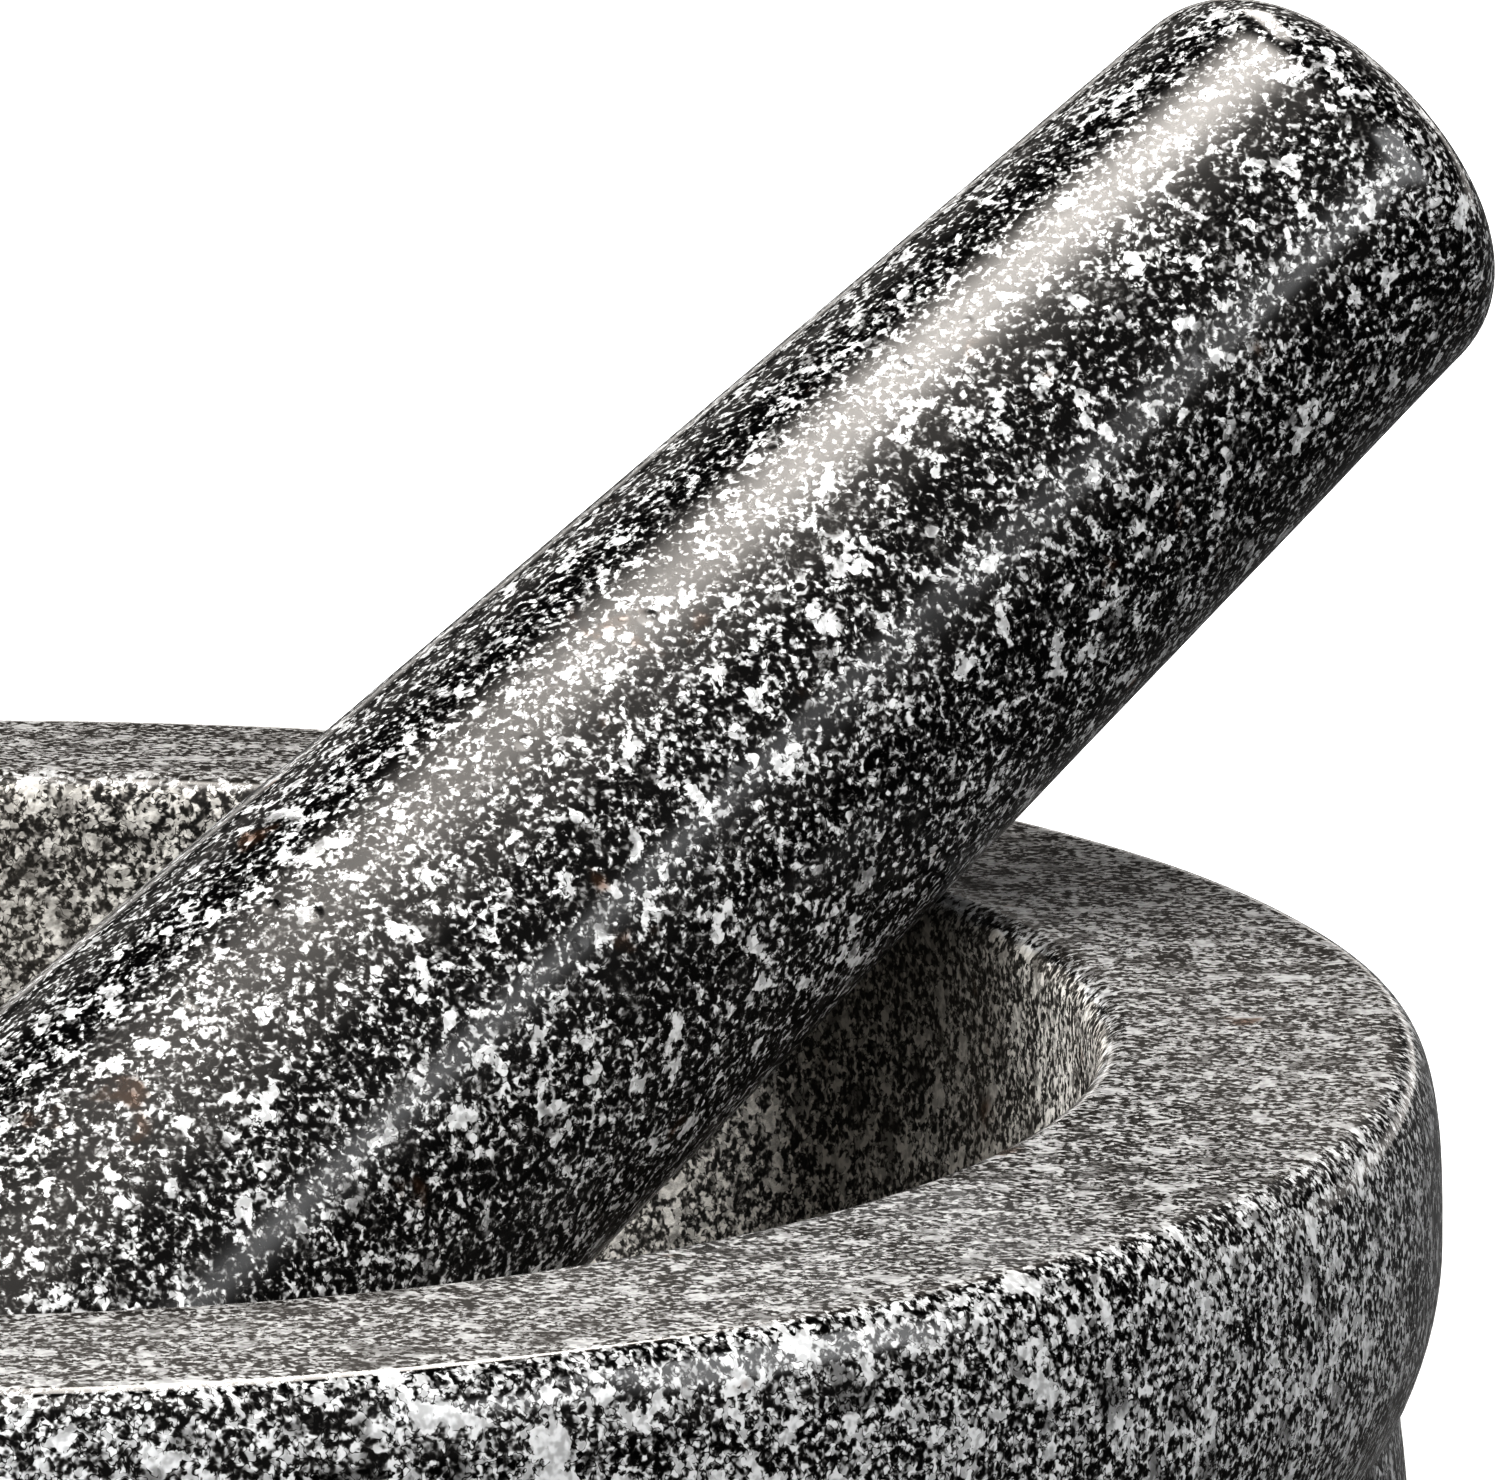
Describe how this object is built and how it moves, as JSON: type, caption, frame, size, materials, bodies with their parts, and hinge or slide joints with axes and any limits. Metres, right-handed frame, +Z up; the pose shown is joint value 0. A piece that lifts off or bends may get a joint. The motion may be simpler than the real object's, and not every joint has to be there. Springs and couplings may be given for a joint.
{
  "type": "mortar and pestle",
  "caption": "Round polished stone mortar with a banded rim and a ground bowl, and a tapered stone pestle that leans in it and lifts out.",
  "frame": {"origin": "centre of the base pad's underside, on the worktop", "axes": "+Z up along the mortar's axis; the pestle's top leans towards +X and, less, towards +Y"},
  "size_m": [0.2052, 0.2, 0.1777],
  "materials": {
    "mortar_stone": "polished speckled granite outside, ground bowl inside",
    "pestle_stone": "polished speckled granite",
    "pad_felt": "pressed felt"
  },
  "bodies": {
    "mortar": {"mortar": "mortar_stone", "base_pad": "pad_felt"},
    "pestle": {"pestle": "pestle_stone"}
  },
  "joints": [
    {"name": "pestle_lift", "type": "slide", "parent": "mortar", "child": "pestle", "axis": [0, 0, 1], "range_m": [0, 0.13]}
  ]
}
